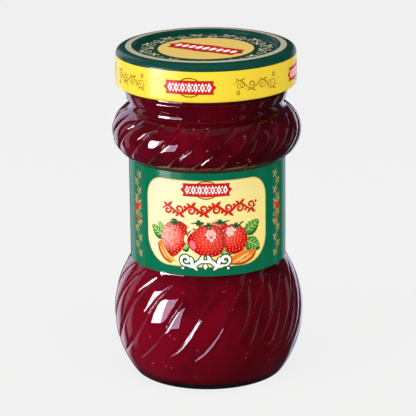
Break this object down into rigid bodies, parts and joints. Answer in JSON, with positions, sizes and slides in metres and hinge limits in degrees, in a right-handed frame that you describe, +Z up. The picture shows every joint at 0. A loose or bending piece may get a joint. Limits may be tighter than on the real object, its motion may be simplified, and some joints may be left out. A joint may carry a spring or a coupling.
{
  "type": "jam jar",
  "caption": "Shut glass jar of strawberry jam with two slant-fluted bulbs, a wrap-round paper label on the waist and a twist-off tin lid.",
  "frame": {"origin": "middle of the ring that the jar stands on, at the level of the table", "axes": "+Z up along the jar's axis, -Y towards the middle of the label's front"},
  "size_m": [0.0749, 0.075, 0.1315],
  "materials": {
    "glass": "clear, gloss",
    "jam": "deep red, wet",
    "label_paper": "varnished print, dark green",
    "lid_tin": "gloss lacquer, yellow skirt and green top"
  },
  "bodies": {
    "root": {"glass_jar": "glass", "jam": "jam", "label": "label_paper", "lid": "lid_tin"}
  },
  "joints": []
}
